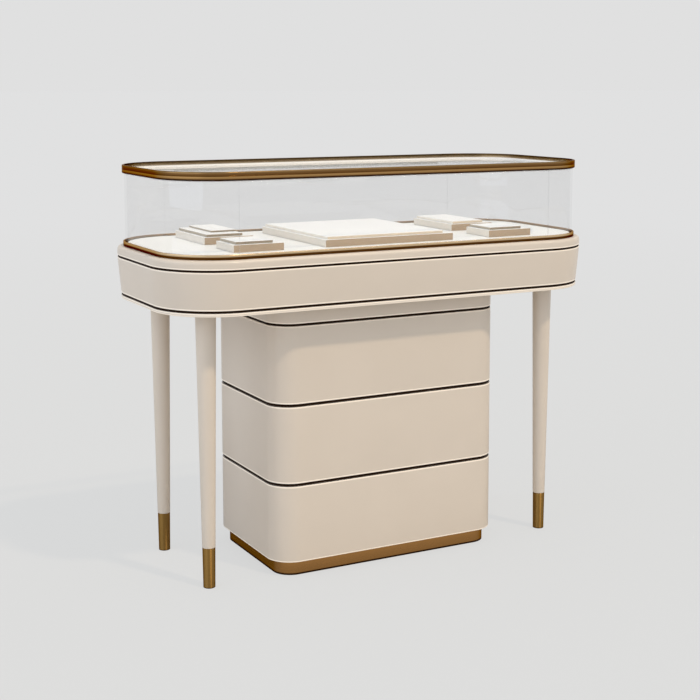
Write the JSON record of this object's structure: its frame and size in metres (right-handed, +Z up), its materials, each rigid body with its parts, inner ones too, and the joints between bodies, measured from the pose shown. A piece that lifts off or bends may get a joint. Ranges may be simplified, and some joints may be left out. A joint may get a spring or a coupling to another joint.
{
  "type": "glass jewelry showcase",
  "caption": "Free-standing jewelry showcase: rounded glass display well with a hinged brass-framed lid, on a cream lacquered body with turned legs and a drawer cabinet.",
  "frame": {"origin": "on the floor, under the middle of the body", "axes": "+Z up, +X along the length to the viewer's right, -Y towards the front where the drawers open"},
  "size_m": [1.2, 0.544, 1.0051],
  "materials": {
    "lacquer": "cream satin lacquer on board",
    "dark_line": "dark brown stain",
    "brass": "brushed antique brass",
    "glass": "clear float glass, polished edges",
    "deck": "white satin laminate",
    "riser": "cream microfibre over board",
    "drawer_board": "birch board, clear matt lacquer",
    "runner_steel": "zinc plated",
    "gasket": "clear silicone",
    "black_plastic": "moulded, fine grain",
    "diffuser": "opal diffuser"
  },
  "bodies": {
    "stand": {"apron": "lacquer", "back_left_ferrule": "brass", "back_left_leg": "lacquer", "back_panel": "lacquer", "back_right_ferrule": "brass", "back_right_leg": "lacquer", "base_ring": "brass", "body_base": "lacquer", "body_cap": "lacquer", "cabinet_neck": "lacquer", "carcass_back": "dark_line", "carcass_base": "dark_line", "carcass_left_side": "dark_line", "carcass_right_side": "dark_line", "centre_riser": "riser", "centre_riser_board": "riser", "deck_panel": "deck", "fixed_hinge_leaf": "runner_steel", "front_glass": "glass", "front_left_ferrule": "brass", "front_left_leg": "lacquer", "front_right_ferrule": "brass", "front_right_leg": "lacquer", "hinge_pin": "runner_steel", "led_power_unit": "black_plastic", "left_back_riser": "riser", "left_back_riser_board": "riser", "left_back_riser_step": "riser", "left_end_glass": "glass", "left_front_riser": "riser", "left_front_riser_board": "riser", "lid_gasket": "gasket", "lower_front_rail": "dark_line", "lower_inlay": "dark_line", "lower_left_runner": "runner_steel", "lower_right_runner": "runner_steel", "middle_front_rail": "dark_line", "middle_left_runner": "runner_steel", "middle_right_runner": "runner_steel", "plinth": "brass", "rear_glass": "glass", "right_back_riser": "riser", "right_back_riser_board": "riser", "right_end_glass": "glass", "right_front_riser": "riser", "right_front_riser_board": "riser", "upper_front_rail": "dark_line", "upper_inlay": "dark_line", "upper_left_runner": "runner_steel", "upper_right_runner": "runner_steel"},
    "lid": {"lid_frame": "brass", "lid_glass": "glass", "led_strip": "diffuser", "lid_hinge_leaf": "runner_steel"},
    "lower_drawer": {"lower_drawer_front": "lacquer", "lower_drawer_box": "drawer_board"},
    "middle_drawer": {"middle_drawer_front": "lacquer", "middle_drawer_box": "drawer_board"},
    "upper_drawer": {"upper_drawer_front": "lacquer", "upper_drawer_box": "drawer_board"}
  },
  "joints": [
    {"name": "lid_hinge", "type": "hinge", "parent": "stand", "child": "lid", "pos_m": [0, 0.262, 0.9831], "axis": [-1, 0, 0], "range_deg": [0, 75]},
    {"name": "lower_drawer_slide", "type": "slide", "parent": "stand", "child": "lower_drawer", "axis": [0, -1, 0], "range_m": [0, 0.2]},
    {"name": "middle_drawer_slide", "type": "slide", "parent": "stand", "child": "middle_drawer", "axis": [0, -1, 0], "range_m": [0, 0.2]},
    {"name": "upper_drawer_slide", "type": "slide", "parent": "stand", "child": "upper_drawer", "axis": [0, -1, 0], "range_m": [0, 0.2]}
  ]
}
